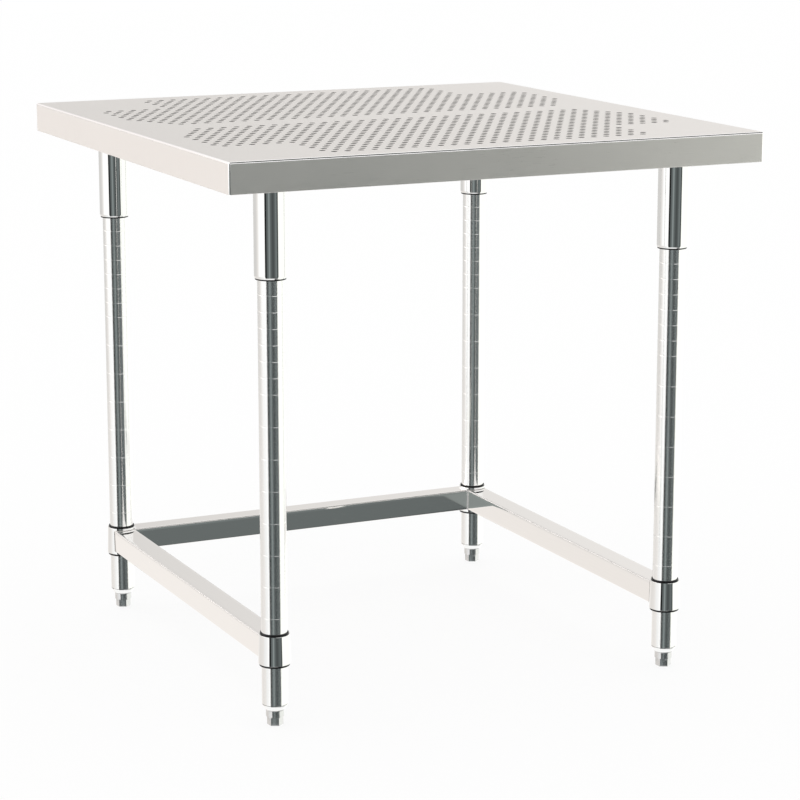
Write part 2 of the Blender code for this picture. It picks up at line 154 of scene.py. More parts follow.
class Tree:
    """A node tree that nodes are added to by type, sockets and settings."""

    def __init__(self, tree):
        tree.nodes.clear()
        self.nodes = tree.nodes
        self.links = tree.links

    def add(self, kind, sockets=None, **settings):
        node = self.nodes.new(kind)
        for name, value in settings.items():
            if name == "stops":
                set_stops(node.color_ramp, value)
            else:
                setattr(node, name, value)
        for name, value in (sockets or {}).items():
            socket = node.inputs[name] if isinstance(name, int) else find_socket(node.inputs, name)
            if isinstance(value, Link):
                self.links.new(value.socket, socket)
            else:
                socket.default_value = value
        return {s.name: Link(self, s) for s in reversed(node.outputs) if s.enabled}

    def split(self, vector):
        parts = self.add("ShaderNodeSeparateXYZ", {"Vector": vector})
        return parts["X"], parts["Y"], parts["Z"]

    def vector(self, x, y, z):
        return self.add("ShaderNodeCombineXYZ", {"X": x, "Y": y, "Z": z})["Vector"]

    def mix(self, factor, first, second):
        """A mix of two colours, of which either may be a link."""
        ends = [c if isinstance(c, Link) else (*c, 1) for c in (first, second)]
        sockets = {"Factor": factor, "A": ends[0], "B": ends[1]}
        return self.add("ShaderNodeMix", sockets, data_type="RGBA")["Result"]


print("A tree can:", [name for name in vars(Tree) if not name.startswith("_")])

# %% [markdown]
# ## The studio
# Polished tube has no colour of its own: what is seen on it is the room. Here that is a white
# studio with one dark side in front of the table, and the posts show it as a band of greys with
# hard edges. The room could be built from cards, but cards would get in the way of other views.
# So the world holds it, in three rings, like strips of wallpaper: one above the horizon, one
# just below it and one lower still. Rays that leave a shiny surface look up a colour by their
# compass direction and height, and every other ray sees plain white.

# %% Wallpaper of the room
COOL = (0.88, 1.0, 1.0)
CREAM = (0.985, 1.0, 0.955)
WARM = (1.0, 0.965, 0.935)
ROSY = (1.0, 0.955, 0.94)
SOFT = (1.0, 0.982, 0.962)
PLAIN = (1.0, 1.0, 1.0)
LEFT = [(-180, 1.25, PLAIN), (-152, 1.25, PLAIN)]
LOWER_LEFT = [(-180, 1.05, PLAIN), (-167, 1.1, PLAIN), (-155, 1.3, PLAIN), (-151, 1.25, PLAIN)]
FRONT = [(-149, 0.01, COOL), (-141, 0.01, COOL), (-136.5, 0.13, COOL), (-127, 0.18, COOL)]
FRONT += [(-119, 0.37, COOL), (-111, 0.17, COOL), (-95, 0.085, COOL), (-84, 0.12, COOL)]
FRONT_RIGHT = [(-72, 0.24, COOL), (-65, 0.18, COOL), (-61.5, 0.03, COOL), (-57.5, 0.03, COOL)]
LOWER_FRONT_RIGHT = [(-72, 0.16, COOL), (-63, 0.157, COOL), (-60.5, 0.03, COOL), (-57.5, 0.03, COOL)]
RIGHT = [(-54, 1.3, CREAM), (0, 1.25, CREAM), (60, 1.2, PLAIN)]
BACK = [(96, 0.76, SOFT), (130, 0.79, SOFT), (148, 0.94, WARM), (165, 1.25, PLAIN)]
LOWER_BACK = [(96, 0.98, WARM), (112, 0.97, WARM), (119, 0.91, WARM), (160, 0.97, WARM)]
ABOVE = [(-180, 1.3, PLAIN), (-152, 1.3, PLAIN), (-149, 0.05, COOL), (-139, 0.10, COOL)]
ABOVE += [(-124, 0.25, COOL), (-110, 0.12, COOL), (-102, 0.25, COOL), (-92, 1.2, PLAIN)]
ABOVE += [(20, 1.1, PLAIN), (50, 0.98, SOFT), (72, 0.74, SOFT), (95, 1.02, ROSY)]
ABOVE += [(120, 1.02, ROSY), (129, 2.75, ROSY), (175, 2.3, ROSY)]
RINGS = {
    "above": ABOVE,
    "middle": LEFT + FRONT + FRONT_RIGHT + RIGHT + BACK,
    "below": LOWER_LEFT + FRONT + LOWER_FRONT_RIGHT + RIGHT + LOWER_BACK + [(176, 1.03, PLAIN)],
}
BRIGHTEST = max(level for ring in RINGS.values() for degrees, level, tint in ring)


def room_colour(level, tint):
    return tuple(level / BRIGHTEST * part for part in tint)


world = bpy.data.worlds.new("studio")
bpy.context.scene.world = world
world.use_nodes = True
world.cycles.sampling_method = "NONE"
studio = Tree(world.node_tree)
east, north, upwards = studio.split(studio.add("ShaderNodeTexCoord")["Generated"])
compass = north.math("ARCTAN2", east) / (2 * math.pi) + 0.5
print("Rings of the room:", {name: len(ring) for name, ring in RINGS.items()})

# %% [markdown]
# The rings are blended by height, and three patches finish the room: a dark ceiling at the front,
# which draws the dark line along the folded edge of the top, white below, and a dark floor in
# front, which draws the dark arcs under the collars. World sampling is off, because it would let
# plain light into the reflections.

# %% The room's nodes
def between(low, high, start=0.0, end=1.0):
    """A smooth change between two heights of the direction."""
    sockets = {"Value": upwards, "From Min": low, "From Max": high, "To Min": start, "To Max": end}
    return studio.add("ShaderNodeMapRange", sockets, interpolation_type="SMOOTHSTEP")["Result"]


def ring_colour(name):
    stops = [((degrees + 180) / 360, room_colour(level, tint)) for degrees, level, tint in RINGS[name]]
    return studio.add("ShaderNodeValToRGB", {"Fac": compass}, stops=stops)["Color"]


open_room = room_colour(1.1, PLAIN)
dark_edge = room_colour(0.03, COOL)
in_front = (compass > 100 / 360) * (compass < 188 / 360)
low_down = between(-0.66, -0.56, 1.0, 0.0)
room = studio.mix(between(-0.27, -0.15), ring_colour("below"), ring_colour("middle"))
room = studio.mix(between(-0.02, 0.10), room, ring_colour("above"))
room = studio.mix(between(0.35, 0.5), room, open_room)
room = studio.mix(between(0.42, 0.50) * in_front, room, dark_edge)
room = studio.mix(low_down, room, open_room)
room = studio.mix(low_down * between(-0.84, -0.76) * in_front, room, dark_edge)
is_glossy = studio.add("ShaderNodeLightPath")["Is Glossy Ray"]
reflected = studio.add("ShaderNodeBackground", {"Color": room, "Strength": BRIGHTEST})
plain = studio.add("ShaderNodeBackground", {"Color": (1, 1, 1, 1), "Strength": 1.0})
shares = {0: is_glossy, 1: plain["Background"], 2: reflected["Background"]}
seen = studio.add("ShaderNodeMixShader", shares)["Shader"]
studio.add("ShaderNodeOutputWorld", {"Surface": seen})
print("The room has", len(studio.nodes), "nodes")

# %% [markdown]
# ## Floor
# The floor is plain and as pale as the background. It is mostly white light with a share of
# plain diffuse, which keeps a faint shadow under the feet. Shiny surfaces don't see it, because
# the room above already holds what lies below the horizon.

# %% Floor
FLOOR_SIZE = 30.0
FLOOR_SHADE = 0.15


def into_mesh(name, bm):
    """The mesh of a bmesh, which is used up."""
    mesh = bpy.data.meshes.new(name)
    bm.to_mesh(mesh)
    bm.free()
    return mesh


def shown(mesh):
    """An object in the scene that has its mesh's name."""
    thing = bpy.data.objects.new(mesh.name, mesh)
    bpy.context.scene.collection.objects.link(thing)
    return thing


grid = bmesh.new()
bmesh.ops.create_grid(grid, x_segments=1, y_segments=1, size=FLOOR_SIZE / 2)
floor = shown(into_mesh("floor", grid))
floor.visible_glossy = False
floor_material = bpy.data.materials.new("floor_paint")
floor_material.use_nodes = True
paint = Tree(floor_material.node_tree)
lit = paint.add("ShaderNodeBsdfDiffuse", {"Color": (0.98, 0.98, 0.98, 1)})["BSDF"]
white = paint.add("ShaderNodeEmission", {"Color": (1, 1, 1, 1), "Strength": 1.0})["Emission"]
mixed = paint.add("ShaderNodeMixShader", {0: FLOOR_SHADE, 1: white, 2: lit})["Shader"]
paint.add("ShaderNodeOutputMaterial", {"Surface": mixed})
floor.data.materials.append(floor_material)
floor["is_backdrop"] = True
print("Floor", FLOOR_SIZE, "m square")

# %% [markdown]
# ## Finishes
# Every finish is one Principled shader. A helper makes the material and wires colour, roughness
# and bump, and each finish then says what varies: the grain of brushed sheet, the fine rings of
# polished tube, the flow marks of mill steel. Object coordinates are metres here, so a noise
# scale of 1000 has features of a millimetre.

# %% A finish from one shader
FINISHES = {}


class Finish(Tree):
    """A Principled material in the making, which reads Object coordinates."""

    def __init__(self, name):
        self.material = bpy.data.materials.new(name)
        self.material.use_nodes = True
        super().__init__(self.material.node_tree)
        self.place = self.add("ShaderNodeTexCoord")["Object"]
        self.x, self.y, self.z = self.split(self.place)
        FINISHES[name] = self.material

    def noise(self, vector, scale, detail=2.0):
        """Noise about nought, from roughly -0.5 to 0.5."""
        sockets = {"Vector": vector, "Scale": scale, "Detail": detail}
        return self.add("ShaderNodeTexNoise", sockets)["Fac"] - 0.5

    def bump(self, height, distance):
        return self.add("ShaderNodeBump", {"Height": height, "Distance": distance})["Normal"]

    def done(self, **sockets):
        """Ends in the shader. A socket is named with _ for each space."""
        named = {name.replace("_", " "): value for name, value in sockets.items()}
        shader = self.add("ShaderNodeBsdfPrincipled", {"Metallic": 1.0} | named)["BSDF"]
        self.add("ShaderNodeOutputMaterial", {"Surface": shader})


print("A finish can make:", [name for name in vars(Finish) if not name.startswith("_")])

# %% [markdown]
# ### Brushed sheet
# The top is folded from sheet with a fine grain that runs along its width. The grain is noise
# stretched a hundredfold, so it reads as scratches. A real sheet keeps its grain when it is
# folded: on the front skirt the lines go on along the width, and on the end skirts they turn down.
# So the height counts as one direction on the front and as the other on the ends, where lines that
# stand upright also scatter light more widely. Hands and cloths polish the folded edges, so they are
# smoother, and their colour is painted paler as a painted highlight. The walls of the punched holes
# are painted near black as painted shade, and the front and back skirts are painted a little darker
# as painted shade.

# %% Brushed top steel
TOP_HALF = 0.4572
WORK_HEIGHT = 0.9028
SHEET = 0.0020
BEND = 0.0030
FIT = 0.0003
FOLD = TOP_HALF - BEND - FIT
CORNER_BEND = 0.0026
SKIN = 0.00005
GRAIN_FINE = 2600.0
GRAIN_LONG = 26.0

brushed = Finish("brushed_top_steel")
far_x = abs(brushed.x)
far_y = abs(brushed.y)
height = brushed.z
on_front = far_y > FOLD
on_wall = height < WORK_HEIGHT - BEND
along = brushed.x - height
across = brushed.y - height * on_front
stretched = brushed.vector(along * (GRAIN_LONG / GRAIN_FINE), across, 0.0)
grain = brushed.noise(stretched, GRAIN_FINE, 3.0)
broad = brushed.noise(brushed.place, 6.0)
furthest = far_x.math("MAXIMUM", far_y)
at_corner = far_x.math("MINIMUM", far_y) > TOP_HALF - CORNER_BEND
at_bend = (height > WORK_HEIGHT - BEND - 2 * SKIN) * (height < WORK_HEIGHT - SKIN)
at_edge = ((furthest > FOLD) * at_bend).math("MAXIMUM", at_corner)
at_end = (far_x > FOLD + BEND) * on_wall
in_sheet = (height < WORK_HEIGHT - 2 * SKIN) * (height > WORK_HEIGHT - SHEET + SKIN)
# Painted shade: the walls of the holes get a near black colour below, standing in for the shade inside
# them.
painted_hole_shade = (furthest < FOLD - 0.001) * in_sheet
shaded_skirt = on_front * on_wall * (at_corner < 0.5)
sheet_colour = brushed.mix(grain + 0.5, (0.765, 0.735, 0.708), (0.835, 0.81, 0.783))
# Painted shade: the front and back skirts are mixed a little darker and greener than the rest of the
# sheet.
sheet_colour = brushed.mix(shaded_skirt * 0.09, sheet_colour, (0.0, 0.1, 0.0))
# Painted highlight: the folded edges and corners get a paler colour, which adds to their real,
# smoother polish.
sheet_colour = brushed.mix(at_edge, sheet_colour, (0.97, 0.96, 0.95))
brushed.done(
    Base_Color=brushed.mix(painted_hole_shade, sheet_colour, (0.03, 0.0295, 0.029)),
    Roughness=grain * 0.10 + broad * 0.05 + 0.30 - at_edge * 0.20 + at_end * 0.22,
    Normal=brushed.bump(grain, 0.00004),
)
print("Brushed sheet with", GRAIN_FINE, "grain lines a metre")

# %% [markdown]
# ### Polished tube
# Posts, sleeves, collars and inserts are bright tube. Up close a polished tube still has faint
# rings from the belt and a slow waviness, and those break a reflection's edges a little. The
# rings are noise squeezed along the height. The sleeves and collars are the same steel with a
# brighter polish, and the back rail's welds are ground bright.

# %% Bright steels
def bright(name, colour, roughness, ring_depth=0.000004):
    finish = Finish(name)
    rings = finish.noise(finish.vector(finish.x, finish.y, finish.z * 30.0), 60.0)
    smudge = finish.noise(finish.place, 18.0, 3.0)
    darker = tuple(0.95 * part for part in colour)
    finish.done(
        Base_Color=finish.mix(smudge + 0.5, darker, colour),
        Roughness=rings * 0.02 + smudge * 0.03 + roughness,
        Normal=finish.bump(rings, ring_depth),
    )


bright("polished_post_steel", (0.86, 0.86, 0.85), 0.17)
bright("polished_sleeve_steel", (0.84, 0.84, 0.83), 0.04)
bright("polished_collar_steel", (0.84, 0.84, 0.83), 0.04)
bright("bright_insert_chrome", (0.88, 0.88, 0.87), 0.05)
bright("ground_weld_steel", (0.90, 0.89, 0.88), 0.12, 0.00002)
print("Bright steels:", [name for name in FINISHES if "polished" in name or "chrome" in name])

# %% [markdown]
# ### Satin rails
# The rails are square tube, drawn rather than turned, with a light satin along their length.
# The two side rails run front to back and the back rail runs across, so the grain takes the
# direction that the rail has. The belt hardly touches a tube's upper bends, so they stay duller
# than the flats, and their colour is painted darker as painted shade.

# %% Rails' satin
POST_X = 0.3522
POST_Y = 0.3574
RAIL_SIZE = 0.0381
RAIL_CORNER = 0.0020
RAIL_BOTTOM = 0.1070
RAIL_MIDDLE = RAIL_BOTTOM + RAIL_SIZE / 2


def satin(name, lengthways):
    finish = Finish(name)
    squeezed = [finish.x, finish.y, finish.z]
    squeezed[lengthways] = squeezed[lengthways] * 0.02
    lines = finish.noise(finish.vector(*squeezed), 1500.0, 3.0)
    smudge = finish.noise(finish.place, 14.0, 3.0)
    sideways = abs(abs(finish.x) - POST_X) if lengthways == 1 else abs(finish.y - POST_Y)
    off_middle = sideways.math("MINIMUM", abs(finish.z - RAIL_MIDDLE))
    # Painted shade: the upper bends get a darker colour below, standing in for less light on them.
    at_bend = (off_middle > RAIL_SIZE / 2 - RAIL_CORNER * 0.9) * (finish.z > RAIL_MIDDLE)
    flat = finish.mix(lines + 0.5, (0.885, 0.87, 0.85), (0.945, 0.925, 0.905))
    finish.done(
        Base_Color=finish.mix(at_bend, flat, (0.725, 0.71, 0.695)),
        Roughness=lines * 0.03 + smudge * 0.03 + 0.05 + at_bend * 0.40,
        Normal=finish.bump(lines, 0.000006),
    )


satin("satin_side_rail_steel", 1)
satin("satin_back_rail_steel", 0)
print("Satin over a rail", RAIL_SIZE, "m square")

# %% [markdown]
# ### Mill steel
# Under the top nothing is polished: the channel and plates have the cloudy grey of sheet as
# it leaves the mill, with straw and blue heat marks where the sleeves are welded on.

# %% Mill steel with heat marks
HEAT_START = 0.024
HEAT_WIDTH = 0.022
HEAT_MARKS = [
    (0.0, (0.30, 0.31, 0.38)),
    (0.30, (0.28, 0.30, 0.42)),
    (0.42, (0.46, 0.36, 0.40)),
    (0.55, (0.60, 0.48, 0.30)),
    (0.80, (0.56, 0.54, 0.50)),
    (1.0, (0.55, 0.54, 0.53)),
]

mill = Finish("mill_underside_steel")
cloud = mill.noise(mill.place, 30.0, 4.0)
flow = mill.noise(mill.vector(mill.x * 0.05, mill.y, mill.z), 900.0)
from_x = abs(mill.x) - POST_X
from_y = abs(mill.y) - POST_Y
from_weld = (from_x * from_x + from_y * from_y).math("SQRT") + cloud * 0.006
heated = {"Fac": (from_weld - HEAT_START) / HEAT_WIDTH}
marks = mill.add("ShaderNodeValToRGB", heated, stops=HEAT_MARKS)["Color"]
clouded = mill.mix(cloud + 0.5, (0.47, 0.46, 0.45), (0.60, 0.59, 0.575))
mill.done(
    Base_Color=mill.mix(from_weld < HEAT_START + HEAT_WIDTH, clouded, marks),
    Roughness=cloud * 0.16 + flow * 0.08 + 0.42,
    Normal=mill.bump(flow, 0.00003),
)
print("Heat marks reach", round(1000 * (HEAT_START + HEAT_WIDTH)), "mm from a sleeve's axis")

# %% [markdown]
# ### Zinc and black plastic
# The zinc on the feet and the scale on a weld bead both show as fine speckles. The split sleeves
# and post caps are moulded in black plastic with a fine grain.

# %% Speckled steel and moulded plastic
def speckled(name, scale, dark, pale, roughness, unevenness):
    finish = Finish(name)
    speckles = finish.noise(finish.place, scale, 3.0)
    finish.done(
        Base_Color=finish.mix(speckles + 0.5, dark, pale),
        Roughness=speckles * unevenness + roughness,
        Normal=finish.bump(speckles, 0.00003),
    )


def moulded(name, colour, roughness):
    finish = Finish(name)
    pores = finish.noise(finish.place, 2500.0)
    wear = finish.noise(finish.place, 120.0, 3.0)
    paler = tuple(1.8 * part for part in colour)
    finish.done(
        Base_Color=finish.mix(wear + 0.5, colour, paler),
        Roughness=pores * 0.2 + wear * 0.1 + roughness,
        Normal=finish.bump(pores, 0.00003),
        Metallic=0.0,
        Specular_IOR_Level=0.2,
    )


speckled("zinc_foot_steel", 500.0, (0.60, 0.60, 0.60), (0.74, 0.74, 0.735), 0.22, 0.12)
speckled("weld_bead_steel", 400.0, (0.42, 0.40, 0.38), (0.60, 0.58, 0.56), 0.24, 0.15)
moulded("black_split_sleeve_plastic", (0.004, 0.004, 0.0045), 0.40)
moulded("black_cap_plastic", (0.010, 0.010, 0.011), 0.48)
print(len(FINISHES), "finishes:", sorted(FINISHES))

# %% [markdown]
# ## Turned pieces
# Posts, sleeves, collars, inserts and feet are all round. Each is drawn as half a section, a
# list of (radius, height) points, and the section is turned in steps about the post's axis.
# One small function rounds the corners of a section, because no real edge is quite sharp. Another
# puts a ring close to both ends of every long run: smooth shading bends over a whole face, and
# the extra ring keeps that bend next to the edge, where it belongs.

# %% Sections
SUPPORT_GAP = 0.0006


def eased(section, sizes, steps=2):
    """The closed section with some corners rounded: sizes maps a corner's index to how far
    along its sides the rounding starts."""
    out = []
    for this, corner in enumerate(section):
        size = sizes.get(this, 0)
        if not size:
            out.append(corner)
            continue
        here = Vector(corner)
        before = Vector(section[this - 1]) - here
        after = Vector(section[(this + 1) % len(section)]) - here
        start = here + before.normalized() * size
        end = here + after.normalized() * size
        for step in range(steps + 1):
            t = step / steps
            point = start * (1 - t) ** 2 + here * 2 * t * (1 - t) + end * t**2
            out.append((point.x, point.y))
    return out


def supported(section):
    """The closed section with a point near each end of its long runs."""
    out = []
    for this, corner in enumerate(section):
        here = Vector(corner)
        run = Vector(section[(this + 1) % len(section)]) - here
        out.append(corner)
        if run.length > 4 * SUPPORT_GAP:
            step = run.normalized() * SUPPORT_GAP
            out.append(tuple(here + step))
            out.append(tuple(here + run - step))
    return out


AXES = {corner: (sx * POST_X, sy * POST_Y) for corner, (sx, sy) in CORNERS.items()}
print("Post axes:", AXES)

# %% [markdown]
# Nearly every piece below is a skin over loops of points: the rings of a turned piece, the slices
# of a sleeve, the two ends of a bar. One function lays faces from each loop to the next.

# %% Skins
def skin(loops, closed=False, capped=False):
    """A bmesh with faces from each loop of points to the next. A closed one joins the last loop
    to the first, and a capped one is filled at both ends. A loop with one spot only is a pole."""
    bm = bmesh.new()
    rings = []
    for loop in loops:
        if loop[0] == loop[-1]:
            rings.append([bm.verts.new(loop[0])] * len(loop))
        else:
            rings.append([bm.verts.new(point) for point in loop])
    for near, far in zip(rings, rings[1:] + rings[:1] * closed):
        for this in range(len(near)):
            corners = (near[this - 1], near[this], far[this], far[this - 1])
            corners = list(dict.fromkeys(corners))
            if len(corners) > 2:
                bm.faces.new(corners)
    if capped:
        bm.faces.new(rings[0])
        bm.faces.new(rings[-1])
    bmesh.ops.recalc_face_normals(bm, faces=bm.faces)
    return bm


def around(centre, radius, angle):
    return centre[0] + radius * math.cos(angle), centre[1] + radius * math.sin(angle)


def circle(axis, radius, height, steps, turn=0.0):
    """Points round a vertical axis at (x, y)."""
    angles = [turn + 2 * math.pi * step / steps for step in range(steps)]
    return [(*around(axis, radius, angle), height) for angle in angles]


print("A circle's first point:", circle((0, 0), 1, 0, 4)[0])

# %% [markdown]
# The other helpers smooth a mesh, turn a section about an axis, and show a piece in place of the
# CAD nodes that it stands for.

# %% Pieces
TURN_STEPS = 64
SHARP = math.radians(30)


def smoothed(name, bm):
    mesh = into_mesh(name, bm)
    mesh.shade_smooth()
    mesh.set_sharp_from_angle(angle=SHARP)
    return mesh


def turned(name, section, axis, steps=TURN_STEPS):
    """A solid of revolution from a closed section about a vertical axis."""
    half_step = math.pi / steps
    rings = [circle(axis, *point, steps, half_step) for point in supported(section)]
    return smoothed(name, skin(rings, closed=True))


def place_piece(mesh, finish, body, slot, *nodes):
    """Shows a mesh as a piece that stands for CAD nodes and rides on their body."""
    piece = shown(mesh)
    mesh.materials.clear()
    mesh.materials.append(FINISHES[finish])
    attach(piece, body)
    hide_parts(*nodes)


print("A turned piece has", TURN_STEPS, "steps")

# %% [markdown]
# ## Posts
# Each post is a tube with narrow grooves every inch, in which a split sleeve locks. Towards the
# bottom only every second groove is cut. A groove is a shallow dip in the section with a narrow
# notch at its middle, which catches the light as a thin line. Modelling it, rather than painting
# it, keeps the line right from every side.

# %% Grooved posts
POST_RADIUS = 0.02065
POST_BORE = 0.01905
POST_BOTTOM = 0.0358
POST_TOP = 0.8850
GROOVE_STEP = 0.0254
GROOVE_WIDTH = 0.0026
GROOVE_SHOULDER = 0.00006
NOTCH_WIDTH = 0.0004
NOTCH_DEPTH = 0.00012
LOWEST_GROOVE = 0.1267
SPARSE_GROOVES = 16
LAST_GROOVE = 22
HIDDEN_GROOVE = 24

grooves = [n for n in range(LAST_GROOVE + 1) if n % 2 == 0 or n > SPARSE_GROOVES]
grooves.append(HIDDEN_GROOVE)
post_section = [(POST_RADIUS - 0.0003, POST_TOP), (POST_RADIUS, POST_TOP - 0.0003)]
for groove in reversed(grooves):
    middle = LOWEST_GROOVE + groove * GROOVE_STEP
    post_section += [
        (POST_RADIUS, middle + GROOVE_WIDTH / 2),
        (POST_RADIUS - GROOVE_SHOULDER, middle + NOTCH_WIDTH / 2),
        (POST_RADIUS - NOTCH_DEPTH, middle),
        (POST_RADIUS - GROOVE_SHOULDER, middle - NOTCH_WIDTH / 2),
        (POST_RADIUS, middle - GROOVE_WIDTH / 2),
    ]
post_section += [
    (POST_RADIUS, POST_BOTTOM + 0.0004),
    (POST_RADIUS - 0.0004, POST_BOTTOM),
    (POST_BORE, POST_BOTTOM),
    (POST_BORE, POST_TOP),
]
for corner, axis in AXES.items():
    mesh = turned("grooved_post_" + corner, post_section, axis)
    place_piece(mesh, "polished_post_steel", "table", "post_steel", "post_" + corner)
print(len(grooves), "grooves in each post,", len(mesh.polygons), "faces")

# %% [markdown]
# ## Upper sleeves
# A wider tube is welded under each corner of the top, and the post slides up into it. Its lower
# lip is drawn in by about a millimetre, which shows as a pale band over a black gap.

# %% Sleeves with a drawn lip
SLEEVE_RADIUS = 0.0254
SLEEVE_BORE = 0.02425
SLEEVE_BOTTOM = 0.7110
SLEEVE_TOP = 0.8972
LIP_HEIGHT = 0.0030
LIP_DRAW = 0.0009

sleeve_section = eased(
    [
        (SLEEVE_RADIUS, SLEEVE_TOP),
        (SLEEVE_RADIUS, SLEEVE_BOTTOM + LIP_HEIGHT),
        (SLEEVE_RADIUS - LIP_DRAW, SLEEVE_BOTTOM),
        (SLEEVE_BORE, SLEEVE_BOTTOM),
        (SLEEVE_BORE, SLEEVE_TOP),
    ],
    {1: 0.0008},
)
for corner, axis in AXES.items():
    mesh = turned("corner_sleeve_" + corner, sleeve_section, axis)
    place_piece(mesh, "polished_sleeve_steel", "table", "sleeve_steel", "upper_sleeve_" + corner)
print("Sleeves:", round(SLEEVE_TOP - SLEEVE_BOTTOM, 4), "m long")

# %% [markdown]
# ## Split sleeves
# A tapered plastic sleeve in two halves closes round the post and wedges into the steel. Only
# a black ring shows above and below. The halves are built as arcs of a tapered ring with a seam
# at each side, and one half is the other turned round.

# %% Tapered halves
WEDGE_INNER = 0.02095
WEDGE_FOOT = 0.02395
WEDGE_HEAD = 0.02235
WEDGE_SEAM = 0.0010
WEDGE_STEPS = 32
WEDGE_PLACES = {
    "upper_": ("table", 0.7087, 0.7629),
    "frame_": ("lower_frame", 0.0985, 0.1522),
}


def wedge_half(name, axis, bottom, top, turn):
    outline = eased(
        [(WEDGE_INNER, bottom), (WEDGE_FOOT, bottom), (WEDGE_HEAD, top), (WEDGE_INNER, top)],
        {1: 0.0004, 2: 0.0004},
    )
    gap = math.asin(WEDGE_SEAM / 2 / WEDGE_INNER)
    slices = []
    for step in range(WEDGE_STEPS + 1):
        angle = turn + gap + (math.pi - 2 * gap) * step / WEDGE_STEPS
        slices.append([(*around(axis, radius, angle), z) for radius, z in outline])
    return smoothed(name, skin(slices, capped=True))


for corner, axis in AXES.items():
    for prefix, (body, bottom, top) in WEDGE_PLACES.items():
        for half, turn in ((corner + "_a", 0), (corner + "_b", math.pi)):
            mesh = wedge_half(prefix + "split_sleeve_" + half, axis, bottom, top, turn)
            look = ("black_split_sleeve_plastic", body, "split_sleeve_plastic")
            place_piece(mesh, *look, prefix + "wedge_" + half)
print("Half a split sleeve has", len(mesh.polygons), "faces")

# %% [markdown]
# ## Collars
# The lower frame hangs on four tapered collars. They are wider at the bottom, like the plastic
# sleeve inside, so weight only makes them grip harder.

# %% Tapered collars
COLLAR_BOTTOM = 0.1020
COLLAR_TOP = 0.1492
COLLAR_WALL = 0.0015
COLLAR_FOOT = 0.02565
COLLAR_HEAD = 0.02425

collar_section = eased(
    [
        (COLLAR_HEAD, COLLAR_TOP),
        (COLLAR_FOOT, COLLAR_BOTTOM),
        (COLLAR_FOOT - COLLAR_WALL, COLLAR_BOTTOM),
        (COLLAR_HEAD - COLLAR_WALL, COLLAR_TOP),
    ],
    {0: 0.0004, 1: 0.0004},
)
for corner, axis in AXES.items():
    mesh = turned("tapered_collar_" + corner, collar_section, axis)
    look = ("polished_collar_steel", "lower_frame", "collar_steel")
    place_piece(mesh, *look, "frame_collar_" + corner)
print("Collars taper by", round(2000 * (COLLAR_FOOT - COLLAR_HEAD), 2), "mm over their height")

# %% [markdown]
# ## Rails
# Three square tubes join the collars, and their ends are coped: cut to the curve of the collar
# so that the weld is short. A Boolean could cut them, but every line along a tube simply stops
# where it meets the cone, and that distance is known, so the mesh is built straight to it.

# %% Outline of a rail and where it stops
RAIL_WALL = 0.0015
FLAT_PARTS = 8
CORNER_PARTS = 4
RAILS = {
    "rail_left": (POST_Y, True, -POST_X, "satin_side_rail_steel"),
    "rail_right": (POST_Y, True, POST_X, "satin_side_rail_steel"),
    "rail_back": (POST_X, False, POST_Y, "satin_back_rail_steel"),
}


def square_outline(half, radius):
    """Points round a square with rounded corners, more closely spaced for a smooth cope."""
    straight = half - radius
    points = []
    for quarter in range(4):
        turn = Matrix.Rotation(quarter * math.pi / 2, 2)
        for part in range(CORNER_PARTS):
            angle = math.pi / 2 * part / CORNER_PARTS
            points.append(turn @ Vector(around((straight, straight), radius, angle)))
        for part in range(FLAT_PARTS):
            points.append(turn @ Vector((straight - 2 * straight * part / FLAT_PARTS, half)))
    return points


def collar_reach(across, height, clear_front):
    """How far from the collar's axis a line along the rail stops."""
    share = (height - COLLAR_BOTTOM) / (COLLAR_TOP - COLLAR_BOTTOM)
    radius = COLLAR_FOOT + (COLLAR_HEAD - COLLAR_FOOT) * share + FIT
    reach = math.sqrt(radius**2 - across**2)
    if clear_front and across < 0:
        reach = max(reach, RAIL_SIZE / 2 + 2 * FIT)
    return reach


def coped_loop(node, outline, end):
    """The outline of a rail, stopped at the collar at one end."""
    half_length, along_y, fixed, _ = RAILS[node]
    loop = []
    for across, up in outline:
        height = RAIL_MIDDLE + up
        stop = end * (half_length - collar_reach(across, height, not along_y))
        loop.append((fixed + across, stop, height) if along_y else (stop, fixed + across, height))
    return loop


outer = square_outline(RAIL_SIZE / 2, RAIL_CORNER)
inner = square_outline(RAIL_SIZE / 2 - RAIL_WALL, RAIL_CORNER - RAIL_WALL)
print(len(outer), "points round a rail")

# %% Coped rails
for node, (*_, finish) in RAILS.items():
    ends = ((outer, -1), (outer, 1), (inner, 1), (inner, -1))
    bm = skin([coped_loop(node, outline, end) for outline, end in ends], closed=True)
    mesh = smoothed("coped_" + node, bm)
    place_piece(mesh, finish, "lower_frame", "rail_steel", node)
    print(node, "has", len(mesh.polygons), "faces")

# %% [markdown]
# ## Inserts and feet
# A plug in the end of each post holds a thread, and narrows down to the foot. The foot itself is
# a stud with a round shoulder and a hexagon for a spanner, so it can be screwed out to level the
# table. The threads are turned as rings of the right pitch.

# %% Sections of an insert and a stud
INSERT_TOP = 0.0655
INSERT_PLUG = 0.01875
INSERT_SHOULDER = 0.0355
INSERT_EDGE = 0.0345
INSERT_NOSE = 0.0150
INSERT_BOTTOM = 0.0265
FOOT_TOP = 0.0262
THREAD_BORE = 0.00505
THREAD_PITCH = 0.0015
THREAD_DEPTH = 0.0006
STUD_RADIUS = 0.00475
STUD_TOP = 0.0712
SHOULDER_RADIUS = 0.0145
HEX_HEIGHT = 0.0138

